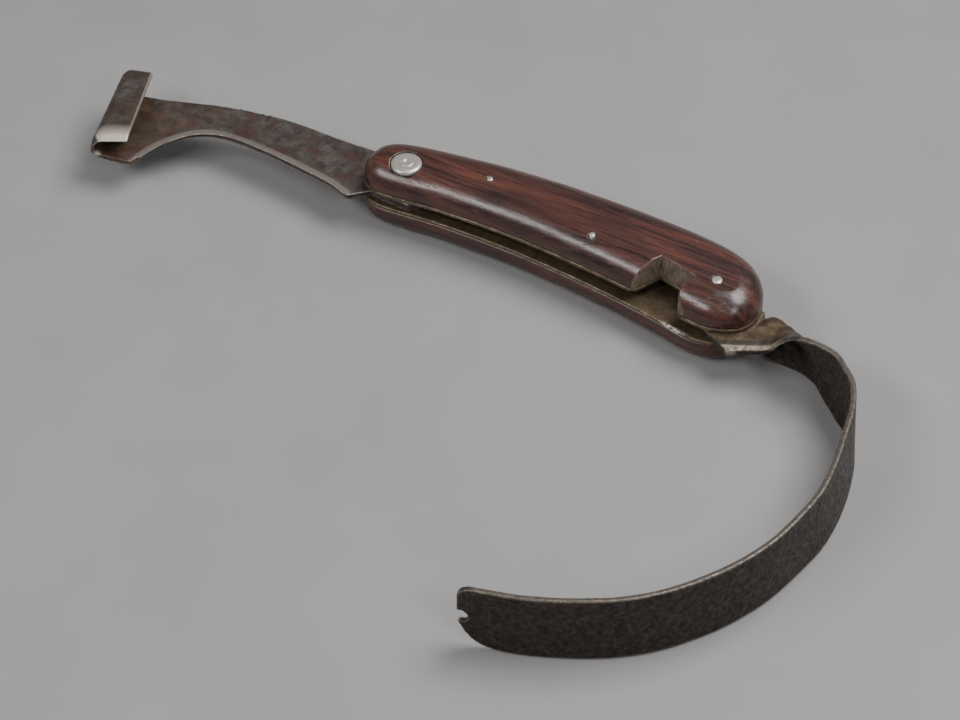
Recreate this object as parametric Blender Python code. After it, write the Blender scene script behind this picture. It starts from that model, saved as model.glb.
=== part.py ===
"""Folding hook knife with a swinging hand guard.

Two domed rosewood scales and two thin liners hold a double-ended back spring. A folding blade,
whose tip is forged into a U-shaped cutter, turns on a riveted pin at the left end. A steel strip
guard turns on a pin at the right end: its flat tang twists upright and sweeps round in a bow.

X runs along the handle from the blade pivot to the guard pivot, Y runs from the belly to the
spine and Z is up. The origin lies midway between the two pivots, on the flat underside.
"""

import math

import bmesh
import bpy
from mathutils import Vector

MM = 0.001

# Driving dimensions, in millimetres.
PIVOT_SPAN = 92.0
HANDLE_THICK = 20.4
LINER_THICK = 1.05
SLOT_HEIGHT = 3.0
SEAM = 0.1
BLADE_THICK = 2.4
CUTTER_PLATE_TOP = 1.4
SPRING_THICK = 2.8
TANG_THICK = 2.4
STRIP_THICK = 1.6
STRIP_WIDTH = 19.9
UPPER_ROUND = 6.2
LOWER_ROUND = 4.6
SCALE_EDGE = 1.6
PIVOT_PIN_RADIUS = 1.95
WASHER_RADIUS = 4.2
GUARD_PIN_RADIUS = 1.45
SPRING_PIN_RADIUS = 0.85
RUNNING_CLEARANCE = 0.08

# Levels worked out from them.
MID_Z = HANDLE_THICK / 2
SLOT_LOW = MID_Z - SLOT_HEIGHT / 2
SLOT_HIGH = MID_Z + SLOT_HEIGHT / 2
WOOD_THICK = SLOT_LOW - LINER_THICK - SEAM
BLADE_LOW = MID_Z - BLADE_THICK / 2
BLADE_HIGH = MID_Z + BLADE_THICK / 2
BLADE_PIVOT = Vector((-PIVOT_SPAN / 2, 0.0, 0.0))
GUARD_PIVOT = Vector((PIVOT_SPAN / 2, 0.0, 0.0))
FRONT_SPRING_PIN = Vector((-23.5, 5.3, 0.0))
REAR_SPRING_PIN = Vector((10.3, -0.7, 0.0))

# The handle seen from above: the belly differs between the lower and the upper half.
END_LEFT = [(-57.6, -2.4), (-58.4, 2.0), (-57.2, 6.2)]
SPINE = [(-53.0, 9.6), (-44.5, 12.0), (-33.0, 14.0), (-17.0, 16.2), (0.0, 17.2), (18.0, 17.4), (33.0, 16.9)]
END_RIGHT = [(44.0, 15.4), (51.5, 12.0), (56.4, 6.4), (58.0, 0.0), (56.2, -5.8)]
BELLY_LOWER = [(50.5, -10.2), (43.0, -11.3), (31.0, -9.1), (16.0, -7.1), (0.0, -5.7)]
BELLY_LOWER += [(-15.0, -5.1), (-34.0, -5.6), (-52.0, -6.9)]
BELLY_UPPER = [(51.5, -8.9), (45.0, -10.0), (32.0, -7.9), (16.0, -6.0), (0.0, -4.7)]
BELLY_UPPER += [(-15.0, -4.2), (-34.0, -5.0), (-52.0, -6.7)]
NOTCH = [(29.7, 1.1), (41.0, -1.6), (39.6, -4.2), (38.5, -6.6), (39.2, -8.3), (40.8, -9.6)]
NOTCH += [(46.0, -13.0), (24.0, -13.0), (26.3, -5.8)]

# The spring seen from above: its two arms rest on the blade's tang and on the guard's tang.
SPRING_BELLY = [(-47.0, 7.0), (-33.5, 7.0), (-28.0, 4.6), (-23.5, 3.4), (-15.0, 0.8), (0.0, -2.2)]
SPRING_BELLY += [(9.0, -3.1), (15.0, -2.2), (22.0, 3.4), (28.0, 7.2), (46.0, 8.8)]
SPRING_SPINE = [(47.6, 13.7), (33.0, 16.0), (18.0, 16.5), (0.0, 16.3), (-17.0, 15.3), (-33.0, 13.1)]
SPRING_SPINE += [(-44.0, 11.2), (-47.4, 10.2)]

# The blade seen from above, from its pivot.
BLADE_HEEL = (-8.2, -5.2)
BLADE_EDGE = [(-12.9, -9.8), (-19.4, -7.7), (-29.6, -6.4), (-40.0, -5.3), (-49.5, -5.0), (-57.0, -5.8)]
BLADE_EDGE += [(-63.2, -8.9), (-67.6, -14.6), (-69.9, -20.4), (-71.2, -26.8)]
BLADE_SPINE = [(-83.5, -2.2), (-76.9, -0.4), (-70.6, 1.9), (-63.9, 4.1), (-51.0, 6.9), (-39.0, 8.1)]
BLADE_SPINE += [(-26.0, 8.2), (-12.0, 8.9)]
TANG_ROUND = 6.6
BLADE_THIN_FROM = -52.0
BLADE_THIN_TO = -66.0

# The cutter: a channel whose closed side is a half round, from its near end to its far end.
CUTTER_NEAR = Vector((-80.35, -28.8, 0.0))
CUTTER_FAR = Vector((-89.7, 0.3, 0.0))
CUTTER_HEIGHT = 7.0
CUTTER_WALL = 1.3
CUTTER_BULGE = 2.2
CUTTER_MOUTH_SLANT = 0.2
CUTTER_FAR_SLANT = 0.6
FLANGE_NEAR = 8.0
FLANGE_FAR = 6.8
FOOT_FAR = 2.6

# The guard, from its pivot. Its tang is flat. One edge then rises to be the strip's rim while the
# strip arches over and the other edge drops to be its foot.
GUARD_TANG = [(12.6, 4.9), (12.9, -11.8), (10.1, -13.7), (3.4, -10.4)]
GUARD_TANG_ROUND = 8.0
TWIST_RIM = [(11.4, -12.7, 10.2), (14.4, -10.7, 10.2), (17.0, -9.3, 10.3), (18.9, -8.2, 10.9)]
TWIST_RIM += [(20.4, -7.5, 12.6), (22.0, -7.5, 15.0), (23.9, -7.8, 17.2), (26.2, -8.1, 18.9)]
TWIST_RIM += [(29.4, -8.2, 19.9), (33.6, -8.4, 20.1), (37.8, -9.4, 20.1)]
TWIST_KNEE = [(11.5, -3.9, 10.2), (14.4, 1.6, 10.0), (16.4, 3.2, 9.5), (18.3, 2.7, 9.4)]
TWIST_KNEE += [(20.1, 2.2, 9.6), (22.0, 1.3, 9.8), (24.2, 0.2, 10.1), (26.8, -2.0, 10.3)]
TWIST_KNEE += [(30.2, -4.2, 10.3), (34.2, -6.5, 10.1), (38.1, -9.2, 10.1)]
TWIST_FOOT = [(11.6, 4.9, 10.2), (14.3, 3.6, 7.6), (15.4, 0.2, 2.2), (17.6, -1.4, 0.9)]
TWIST_FOOT += [(19.8, -1.2, 0.8), (22.4, -1.1, 0.7), (25.4, -1.0, 0.6), (28.6, -1.6, 0.5)]
TWIST_FOOT += [(31.6, -3.0, 0.4), (35.0, -6.3, 0.3), (38.6, -9.4, 0.2)]
TWIST_FOLD = 0.84

# The bow's rim, and how far outside of it the foot stands.
BOW = [(41.0, -12.0, 0.3), (45.4, -16.4, 0.8), (48.7, -23.9, 1.5), (50.9, -33.0, 2.2)]
BOW += [(52.9, -42.5, 2.0), (54.0, -52.5, 1.4), (53.3, -61.5, 0.8), (51.3, -72.3, 0.5)]
BOW += [(47.6, -82.3, 0.4), (42.6, -91.2, 0.4), (36.4, -99.5, 0.4), (29.2, -106.3, 0.3)]
BOW += [(20.4, -112.0, 0.2), (10.8, -116.8, 0.0), (1.1, -120.1, 0.0), (-6.4, -121.9, 0.0)]
BOW += [(-13.0, -123.4, 0.0)]
STRIP_FOOT = 0.2
STRIP_STEPS = 3
SECTION_STEPS = 8
TIP = Vector((-6.2, -121.5, 0.0))
TIP_INWARD = Vector((0.972, 0.235, 0.0)).normalized()
TIP_SLOT_RADIUS = 1.9
TIP_SLOT_DEPTH = 0.9


def clear_scene():
    for obj in list(bpy.data.objects):
        bpy.data.objects.remove(obj, do_unlink=True)


def principled(name, colour, metallic, roughness):
    material = bpy.data.materials.new(name)
    material.use_nodes = True
    shader = material.node_tree.nodes["Principled BSDF"]
    shader.inputs["Base Color"].default_value = (*colour, 1.0)
    shader.inputs["Metallic"].default_value = metallic
    shader.inputs["Roughness"].default_value = roughness
    return material


def rosewood():
    return principled("rosewood", (0.17, 0.055, 0.035), 0.0, 0.32)


def liner_metal():
    return principled("liner_metal", (0.30, 0.21, 0.13), 0.8, 0.45)


def spring_steel():
    return principled("spring_steel", (0.16, 0.12, 0.09), 0.7, 0.55)


def blade_steel():
    return principled("blade_steel", (0.27, 0.24, 0.22), 0.85, 0.42)


def pitted_steel():
    return principled("pitted_steel", (0.075, 0.06, 0.052), 0.7, 0.55)


def nickel():
    return principled("nickel", (0.58, 0.54, 0.50), 0.9, 0.33)


def smooth_path(points, steps, closed):
    """Points along a Catmull-Rom curve through the given points, in two or three dimensions."""
    knots = [Vector(point) for point in points]
    count = len(knots)
    path = []
    for index in range(count if closed else count - 1):
        if closed:
            a, b, c, d = (knots[(index + offset) % count] for offset in (-1, 0, 1, 2))
        else:
            b, c = knots[index], knots[index + 1]
            a = knots[index - 1] if index else b + (b - c)
            d = knots[index + 2] if index + 2 < count else c + (c - b)
        for step in range(steps):
            t = step / steps
            square = 2 * a - 5 * b + 4 * c - d
            cube = 3 * b - a - 3 * c + d
            path.append(0.5 * (2 * b + (c - a) * t + square * t**2 + cube * t**3))
    if not closed:
        path.append(knots[-1])
    return path


def circle(radius, centre=(0.0, 0.0), sides=32):
    """A regular outline round a centre, counter-clockwise."""
    turns = [2 * math.pi * (side + 0.5) / sides for side in range(sides)]
    return [Vector(centre) + radius * Vector((math.cos(turn), math.sin(turn))) for turn in turns]


def arc(radius, from_deg, to_deg, sides, centre=(0.0, 0.0)):
    """Points on an arc, both ends included."""
    step = math.radians(to_deg - from_deg) / sides
    turns = [math.radians(from_deg) + step * side for side in range(sides + 1)]
    return [Vector(centre) + radius * Vector((math.cos(turn), math.sin(turn))) for turn in turns]


def new_object(name, mesh, location, material):
    mesh.transform(((MM, 0, 0, 0), (0, MM, 0, 0), (0, 0, MM, 0), (0, 0, 0, 1)))
    obj = bpy.data.objects.new(name, mesh)
    obj.location = location * MM
    bpy.context.collection.objects.link(obj)
    if material:
        mesh.materials.append(material)
        mesh.shade_smooth()
        mesh.set_sharp_from_angle(angle=math.radians(30))
    return obj


def loft(name, rings, location=Vector(), material=None):
    """A closed body through rings of equal length, with a flat face over each end."""
    bm = bmesh.new()
    rows = [[bm.verts.new(point) for point in ring] for ring in rings]
    for low, high in zip(rows, rows[1:]):
        for side in range(len(low)):
            after = (side + 1) % len(low)
            bm.faces.new((low[side], low[after], high[after], high[side]))
    bm.faces.new(reversed(rows[0]))
    bm.faces.new(rows[-1])
    bmesh.ops.recalc_face_normals(bm, faces=bm.faces)
    mesh = bpy.data.meshes.new(name)
    bm.to_mesh(mesh)
    bm.free()
    return new_object(name, mesh, location, material)


def at_height(outline, z):
    return [Vector((point.x, point.y, z)) for point in outline]


def prism(name, outline, low, high, location=Vector(), material=None):
    return loft(name, [at_height(outline, low), at_height(outline, high)], location, material)


def turned(name, profile, location, material, sides=32):
    """A round body from (radius, height) pairs, bottom to top."""
    rings = [at_height(circle(radius, sides=sides), z) for radius, z in profile]
    return loft(name, rings, location, material)


def cutter(obj):
    obj.hide_render = True
    obj.display_type = "WIRE"
    return obj


def combine(obj, other, operation):
    """Cuts a hidden helper out of the object, or joins it on."""
    modifier = obj.modifiers.new(operation.lower(), "BOOLEAN")
    modifier.operation = operation
    modifier.solver = "EXACT"
    modifier.object = cutter(other)


def bore(obj, name, radius, centre):
    """A round hole right through the object, at a centre in the handle's frame."""
    hole = prism(name, circle(radius), -5.0, HANDLE_THICK + 5.0, centre)
    combine(obj, hole, "DIFFERENCE")


def inset(outline, distance):
    """The outline moved inward along its own normals."""
    moved = []
    for index, point in enumerate(outline):
        along = (outline[(index + 1) % len(outline)] - outline[index - 1]).normalized()
        moved.append(point + Vector((-along.y, along.x)) * distance)
    return moved


def handle_outline(belly):
    """The handle's outline, counter-clockwise."""
    points = END_LEFT + SPINE + END_RIGHT + belly
    return smooth_path(list(reversed(points)), 4, closed=True)


def domed_scale(name, outline, inner_z, outer_z, shoulder):
    """A wooden scale: a short upright edge, then a quarter-round shoulder up to a flat crown."""
    rise = outer_z - inner_z
    edge = math.copysign(SCALE_EDGE, rise)
    rings = [at_height(outline, inner_z), at_height(outline, inner_z + edge)]
    shoulder_steps = 6
    for step in range(1, shoulder_steps + 1):
        turn = math.pi / 2 * step / shoulder_steps
        depth = shoulder * (1 - math.cos(turn))
        height = edge + (rise - edge) * math.sin(turn)
        rings.append(at_height(inset(outline, depth), inner_z + height))
    return loft(name, rings, Vector(), rosewood())


def bore_handle_pins(obj, name, pivot_radius):
    bore(obj, name + "_pivot_bore", pivot_radius, BLADE_PIVOT)
    bore(obj, name + "_guard_bore", GUARD_PIN_RADIUS + RUNNING_CLEARANCE, GUARD_PIVOT)
    bore(obj, name + "_front_bore", SPRING_PIN_RADIUS + RUNNING_CLEARANCE, FRONT_SPRING_PIN)
    bore(obj, name + "_rear_bore", SPRING_PIN_RADIUS + RUNNING_CLEARANCE, REAR_SPRING_PIN)


def cut_notch(obj, name):
    outline = [Vector(point) for point in NOTCH]
    combine(obj, prism(name, outline, SLOT_HIGH - 1.0, HANDLE_THICK + 5.0), "DIFFERENCE")


def make_scales():
    """The wooden scales, each with a shallow seat for its pivot washer."""
    pin_radius = PIVOT_PIN_RADIUS + RUNNING_CLEARANCE
    seat = circle(WASHER_RADIUS + SEAM)
    lower = domed_scale("lower_scale", handle_outline(BELLY_LOWER), WOOD_THICK, 0.0, LOWER_ROUND)
    bore_handle_pins(lower, "lower_scale", pin_radius)
    combine(lower, prism("lower_washer_seat", seat, -1.0, 1.8, BLADE_PIVOT), "DIFFERENCE")

    inner = HANDLE_THICK - WOOD_THICK
    upper = domed_scale("upper_scale", handle_outline(BELLY_UPPER), inner, HANDLE_THICK, UPPER_ROUND)
    bore_handle_pins(upper, "upper_scale", pin_radius)
    high = HANDLE_THICK + 2.0
    combine(upper, prism("upper_washer_seat", seat, HANDLE_THICK - 1.5, high, BLADE_PIVOT), "DIFFERENCE")
    cut_notch(upper, "upper_scale_notch")


def make_liners():
    pin_radius = PIVOT_PIN_RADIUS + RUNNING_CLEARANCE
    lower_outline = handle_outline(BELLY_LOWER)
    lower = prism("lower_liner", lower_outline, SLOT_LOW - LINER_THICK, SLOT_LOW, Vector(), liner_metal())
    bore_handle_pins(lower, "lower_liner", pin_radius)

    upper_outline = handle_outline(BELLY_UPPER)
    upper = prism("upper_liner", upper_outline, SLOT_HIGH, SLOT_HIGH + LINER_THICK, Vector(), liner_metal())
    bore_handle_pins(upper, "upper_liner", pin_radius)
    cut_notch(upper, "upper_liner_notch")


def make_back_spring():
    outline = smooth_path(SPRING_BELLY, 3, closed=False) + smooth_path(SPRING_SPINE, 3, closed=False)
    low = MID_Z - SPRING_THICK / 2
    spring = prism("back_spring", outline, low, low + SPRING_THICK, Vector(), spring_steel())
    bore(spring, "spring_front_bore", SPRING_PIN_RADIUS + RUNNING_CLEARANCE, FRONT_SPRING_PIN)
    bore(spring, "spring_rear_bore", SPRING_PIN_RADIUS + RUNNING_CLEARANCE, REAR_SPRING_PIN)


def thin_towards_cutter(obj):
    """Lowers the blade's upper face in a straight slope from the neck to the cutter."""
    bm = bmesh.new()
    bm.from_mesh(obj.data)
    for x in (BLADE_THIN_FROM, BLADE_THIN_TO):
        everything = bm.verts[:] + bm.edges[:] + bm.faces[:]
        bmesh.ops.bisect_plane(bm, geom=everything, plane_co=(x * MM, 0, 0), plane_no=(1, 0, 0))
    drop = BLADE_THICK - CUTTER_PLATE_TOP
    for vert in bm.verts:
        if vert.co.z > MID_Z * MM:
            along = (vert.co.x / MM - BLADE_THIN_FROM) / (BLADE_THIN_TO - BLADE_THIN_FROM)
            vert.co.z -= drop * MM * min(max(along, 0.0), 1.0)
    bm.to_mesh(obj.data)
    bm.free()


def cutter_channel():
    """The U-shaped cutter as rings of its section, swept from its near end to its far end."""
    along = (CUTTER_FAR - CUTTER_NEAR).normalized()
    across = Vector((along.y, -along.x, 0.0))
    outer = CUTTER_HEIGHT / 2
    centre = (outer - CUTTER_BULGE, BLADE_LOW + outer)
    outside = arc(outer, 90, 270, 10, centre)
    inside = arc(outer - CUTTER_WALL, 270, 90, 10, centre)
    rings = []
    for station in (0.0, 0.5, 1.0):
        width = FLANGE_NEAR + (FLANGE_FAR - FLANGE_NEAR) * station
        under = FLANGE_NEAR + (FOOT_FAR - FLANGE_NEAR) * station
        foot = [Vector((under, BLADE_LOW)), Vector((under, BLADE_LOW + CUTTER_WALL))]
        flange = [Vector((width, point.y + CUTTER_HEIGHT - CUTTER_WALL)) for point in foot]
        start = CUTTER_NEAR.lerp(CUTTER_FAR, station)
        ring = []
        for point in outside + foot + inside + flange:
            slant = along * point.x * CUTTER_MOUTH_SLANT * (1.0 - station)
            slant += along * min(point.x, 0.0) * CUTTER_FAR_SLANT * station
            ring.append(start + across * point.x + slant + Vector((0, 0, point.y)))
        rings.append(ring)
    return rings


def make_scribe_blade():
    """The blade: tang, body and hook in one plate, with the channel joined on."""
    edge = [Vector(BLADE_HEEL)] + smooth_path(BLADE_EDGE, 4, closed=False)
    spine = smooth_path(BLADE_SPINE, 3, closed=False)
    mouth = [Vector((-76.3, -28.0)), Vector((-79.4, -28.4)), Vector((-84.5, -9.0))]
    outline = edge + mouth + spine + arc(TANG_ROUND, 90, -60, 12)
    blade = prism("scribe_blade", outline, BLADE_LOW, BLADE_HIGH, BLADE_PIVOT, blade_steel())
    thin_towards_cutter(blade)
    combine(blade, loft("cutter_channel", cutter_channel(), BLADE_PIVOT), "UNION")
    bore(blade, "blade_bore", PIVOT_PIN_RADIUS + RUNNING_CLEARANCE, BLADE_PIVOT)


def strip_section(rim, knee, foot, tangent, thick):
    """One section of the strip: a bar that runs from its rim, folds at its knee and ends at its foot."""
    ease = 0.3
    share = 0.125 + 0.375 * (1 - TWIST_FOLD)
    corner = (knee - share * (rim + foot)) / (1 - 2 * share)
    first = rim.lerp(corner, TWIST_FOLD)
    second = foot.lerp(corner, TWIST_FOLD)
    near_side = []
    far_side = []
    for step in range(SECTION_STEPS + 1):
        t = step / SECTION_STEPS
        u = 1 - t
        point = rim * u**3 + first * 3 * u * u * t + second * 3 * u * t * t + foot * t**3
        along = (first - rim) * u * u + (second - first) * 2 * u * t + (foot - second) * t * t
        along.normalize()
        face = tangent.cross(along).normalized() * thick / 2
        inward = {0: along * ease, SECTION_STEPS: -along * ease}.get(step, Vector((0, 0, 0)))
        near_side.append(point + inward - face)
        far_side.append(point + inward + face)
        if step in (0, SECTION_STEPS):
            eased = 1 - 2 * ease / thick
            end = 0 if step == 0 else len(near_side)
            near_side.insert(end, point - face * eased)
            far_side.insert(end, point + face * eased)
    return near_side + list(reversed(far_side))


def bow_edges():
    """The rim and the foot of the bow. The foot stands outside of the rim by the lean."""
    top = STRIP_FOOT + STRIP_WIDTH
    rims = [Vector((x, y, top)) for x, y, lean in BOW]
    feet = []
    for index, (x, y, lean) in enumerate(BOW):
        along = rims[min(index + 1, len(BOW) - 1)] - rims[max(index - 1, 0)]
        outward = Vector((-along.y, along.x, 0.0)).normalized()
        feet.append(Vector((x, y, STRIP_FOOT)) + outward * lean)
    return rims, feet


def guard_strip():
    """The strip's sections, from inside the tang round the bow and past the tip."""
    rims, feet = bow_edges()
    knees = [(rim + foot) / 2 for rim, foot in zip(rims, feet)]
    rim_path = smooth_path(TWIST_RIM + rims, STRIP_STEPS, closed=False)
    knee_path = smooth_path(TWIST_KNEE + knees, STRIP_STEPS, closed=False)
    foot_path = smooth_path(TWIST_FOOT + feet, STRIP_STEPS, closed=False)
    last = len(knee_path) - 1
    thick_from = TANG_THICK - 2 * SEAM
    thinning = STRIP_STEPS * len(TWIST_RIM)
    rings = []
    for index, (rim, knee, foot) in enumerate(zip(rim_path, knee_path, foot_path)):
        tangent = knee_path[min(index + 1, last)] - knee_path[max(index - 1, 0)]
        share = min(index / thinning, 1.0)
        thick = thick_from + (STRIP_THICK - thick_from) * share
        rings.append(strip_section(rim, knee, foot, tangent, thick))
    return rings


def tip_profile():
    """What is cut off the strip's end, as distance along the strip and height."""
    top = STRIP_FOOT + STRIP_WIDTH
    corner = []
    for step in range(5):
        turn = math.pi / 8 * step
        corner.append(Vector((4.6 - 4.6 * math.sin(turn), top - 3.2 + 3.2 * math.cos(turn))))
    slot = arc(TIP_SLOT_RADIUS, 118, -118, 12, (TIP_SLOT_DEPTH, MID_Z + 0.1))
    toe = [Vector(point) for point in ((0.3, 8.2), (2.2, 4.8), (5.2, 1.9), (9.0, 0.8), (14.0, 0.2))]
    outside = [Vector(point) for point in ((14.0, -4.0), (-12.0, -4.0), (-12.0, 26.0), (4.6, 26.0))]
    return corner + slot + toe + outside


def make_hand_guard():
    """The guard: its round-ended tang with the strip joined on and the slotted tip cut."""
    tang_end = list(reversed(arc(GUARD_TANG_ROUND, 75, 245, 14)))
    outline = [Vector(point) for point in GUARD_TANG] + tang_end
    low = MID_Z - TANG_THICK / 2
    guard = prism("hand_guard", outline, low, low + TANG_THICK, GUARD_PIVOT, pitted_steel())
    combine(guard, loft("guard_strip", guard_strip(), GUARD_PIVOT), "UNION")
    face = Vector((TIP_INWARD.y, -TIP_INWARD.x, 0.0))
    rings = []
    for side in (-6.0, 6.0):
        start = TIP + face * side
        rings.append([start + TIP_INWARD * point.x + Vector((0, 0, point.y)) for point in tip_profile()])
    combine(guard, loft("guard_tip_cut", rings, GUARD_PIVOT), "DIFFERENCE")
    bore(guard, "guard_bore", GUARD_PIN_RADIUS + RUNNING_CLEARANCE, GUARD_PIVOT)


def make_pins():
    """The riveted pins. The pivot pin ends in the washers, the others end flush with the wood."""
    proud = 0.15
    eased = 0.3
    low = 0.3
    high = HANDLE_THICK + proud
    pivot = PIVOT_PIN_RADIUS
    pivot_profile = [(pivot - eased, low), (pivot, low + eased), (pivot, high), (pivot * 0.6, high + 0.2)]
    turned("blade_pivot_pin", pivot_profile, BLADE_PIVOT, nickel())
    washer = [(WASHER_RADIUS - 0.2, HANDLE_THICK - 1.4), (WASHER_RADIUS, HANDLE_THICK - 1.2)]
    dome = [(WASHER_RADIUS, HANDLE_THICK - 0.5), (WASHER_RADIUS * 0.9, HANDLE_THICK - 0.1)]
    dome.append((pivot + 0.8, high))
    upper = turned("upper_pivot_washer", washer + dome, BLADE_PIVOT, nickel())
    bore(upper, "upper_washer_bore", pivot + RUNNING_CLEARANCE, BLADE_PIVOT)
    mirrored = [(radius, HANDLE_THICK - z + 2 * proud) for radius, z in reversed(washer + dome)]
    lower = turned("lower_pivot_washer", mirrored, BLADE_PIVOT, nickel())
    bore(lower, "lower_washer_bore", pivot + RUNNING_CLEARANCE, BLADE_PIVOT)
    pins = (
        ("front_spring_pin", SPRING_PIN_RADIUS, FRONT_SPRING_PIN, 20),
        ("rear_spring_pin", SPRING_PIN_RADIUS, REAR_SPRING_PIN, 20),
        ("guard_pivot_pin", GUARD_PIN_RADIUS, GUARD_PIVOT, 32),
    )
    for name, radius, centre, sides in pins:
        profile = [(radius, low), (radius, high - eased), (radius * 0.7, high)]
        turned(name, profile, centre, nickel(), sides)


def main():
    clear_scene()
    make_scales()
    make_liners()
    make_back_spring()
    make_scribe_blade()
    make_hand_guard()
    make_pins()


main()
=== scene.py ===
"""The looks of the folding hook knife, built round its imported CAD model.

Mesh code works in millimetres in the frame of the CAD model: X runs from the blade's pivot to the
guard's pivot, Y from the belly of the handle to its spine, and Z is up.
"""

import math

import bmesh
import bpy
import numpy as np
from mathutils import Matrix, Vector, noise


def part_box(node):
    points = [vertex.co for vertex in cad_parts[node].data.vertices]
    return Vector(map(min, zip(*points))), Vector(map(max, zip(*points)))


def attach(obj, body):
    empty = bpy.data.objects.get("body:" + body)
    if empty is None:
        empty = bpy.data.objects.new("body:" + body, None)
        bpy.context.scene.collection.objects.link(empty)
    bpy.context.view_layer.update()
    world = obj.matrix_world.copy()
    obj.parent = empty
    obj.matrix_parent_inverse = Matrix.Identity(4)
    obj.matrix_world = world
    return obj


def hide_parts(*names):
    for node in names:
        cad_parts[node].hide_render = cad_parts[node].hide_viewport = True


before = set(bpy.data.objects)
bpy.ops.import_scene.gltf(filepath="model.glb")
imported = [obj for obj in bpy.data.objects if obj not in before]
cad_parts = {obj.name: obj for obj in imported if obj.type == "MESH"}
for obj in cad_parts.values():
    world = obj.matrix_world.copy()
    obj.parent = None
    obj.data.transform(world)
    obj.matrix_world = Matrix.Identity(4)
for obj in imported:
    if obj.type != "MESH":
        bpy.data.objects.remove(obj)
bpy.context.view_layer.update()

MM = 0.001


def node_levels(node):
    """The lowest and the highest point of a CAD node, in millimetres."""
    low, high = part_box(node)
    return low.z / MM, high.z / MM


def node_centre(node):
    """The middle of a CAD node seen from above, in millimetres."""
    low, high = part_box(node)
    return Vector(((low.x + high.x) / 2, (low.y + high.y) / 2)) / MM


BLADE_PIVOT = node_centre("blade_pivot_pin")
GUARD_PIVOT = node_centre("guard_pivot_pin")
FRONT_PIN = node_centre("front_spring_pin")
REAR_PIN = node_centre("rear_spring_pin")
SCALE_TOP = node_levels("upper_scale")[1]
PIN_TOP = node_levels("upper_pivot_washer")[1]
PIN_HEAD_TOP = node_levels("blade_pivot_pin")[1]
PIN_FOOT = node_levels("lower_pivot_washer")[0]
MID_Z = SCALE_TOP / 2
BLADE_LOW = node_levels("scribe_blade")[0]
BLADE_HIGH = 2 * MID_Z - BLADE_LOW

PIVOT_PIN_RADIUS = 1.95
WASHER_RADIUS = 4.2
GUARD_PIN_RADIUS = 1.45
SPRING_PIN_RADIUS = 0.85
PIN_SEATS = (
    (BLADE_PIVOT, WASHER_RADIUS),
    (GUARD_PIVOT, GUARD_PIN_RADIUS),
    (FRONT_PIN, SPRING_PIN_RADIUS),
    (REAR_PIN, SPRING_PIN_RADIUS),
)

# The handle seen from above: the belly differs between the lower and the upper half.
END_LEFT = [(-57.6, -2.4), (-58.4, 2.0), (-57.2, 6.2)]
SPINE = [(-53.0, 9.6), (-44.5, 12.0), (-33.0, 14.0), (-17.0, 16.2), (0.0, 17.2), (18.0, 17.4), (33.0, 16.9)]
END_RIGHT = [(44.0, 15.4), (51.5, 12.0), (56.4, 6.4), (58.0, 0.0), (56.2, -5.8)]
BELLY_LOWER = [(50.5, -10.2), (43.0, -11.3), (31.0, -9.1), (16.0, -7.1), (0.0, -5.7)]
BELLY_LOWER += [(-15.0, -5.1), (-34.0, -5.6), (-52.0, -6.9)]
BELLY_UPPER = [(51.5, -8.9), (45.0, -10.0), (32.0, -7.9), (16.0, -6.0), (0.0, -4.7)]
BELLY_UPPER += [(-15.0, -4.2), (-34.0, -5.0), (-52.0, -6.7)]
NOTCH = [(26.3, -5.8), (29.7, 1.1), (41.0, -1.6), (39.6, -4.2), (38.5, -6.6), (39.2, -8.3), (40.8, -9.6)]
NOTCH_MOUTH = (25.6, 41.6)

# The spring seen from above.
SPRING_BELLY = [(-47.0, 7.0), (-33.5, 7.0), (-28.0, 4.6), (-23.5, 3.4), (-15.0, 0.8), (0.0, -2.2)]
SPRING_BELLY += [(9.0, -3.1), (15.0, -2.2), (22.0, 3.4), (28.0, 7.2), (46.0, 8.8)]
SPRING_SPINE = [(47.6, 13.7), (33.0, 16.0), (18.0, 16.5), (0.0, 16.3), (-17.0, 15.3), (-33.0, 13.1)]
SPRING_SPINE += [(-44.0, 11.2), (-47.4, 10.2)]

# The blade seen from above, from its pivot.
BLADE_HEEL = (-8.2, -5.2)
BLADE_EDGE = [(-12.9, -9.8), (-19.4, -7.7), (-29.6, -6.4), (-40.0, -5.3), (-49.5, -5.0), (-57.0, -5.8)]
BLADE_EDGE += [(-63.2, -8.9), (-67.6, -14.6), (-69.9, -20.4), (-71.2, -26.8)]
BLADE_SPINE = [(-83.5, -2.2), (-76.9, -0.4), (-70.6, 1.9), (-63.9, 4.1), (-51.0, 6.9), (-39.0, 8.1)]
BLADE_SPINE += [(-26.0, 8.2), (-12.0, 8.9)]
TANG_ROUND = 6.6
BLADE_THIN_FROM = -52.0
BLADE_THIN_TO = -66.0
CUTTER_PLATE_TOP = 1.4
EDGE_CHAMFER = 1.05
SPINE_CHAMFER = 0.3

# The cutter: a channel whose closed side is a half round, from its near end to its far end.
CUTTER_NEAR = Vector((-80.35, -28.8, 0.0))
CUTTER_FAR = Vector((-89.7, 0.3, 0.0))
CUTTER_HEIGHT = 7.0
CUTTER_WALL = 1.3
CUTTER_BULGE = 2.2
CUTTER_MOUTH_SLANT = 0.2
CUTTER_FAR_SLANT = 0.6
FLANGE_NEAR = 8.0
FLANGE_FAR = 6.8
FOOT_FAR = 2.6
HONED_LENGTH = 2.6
HONED_EDGE = 0.45

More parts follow.
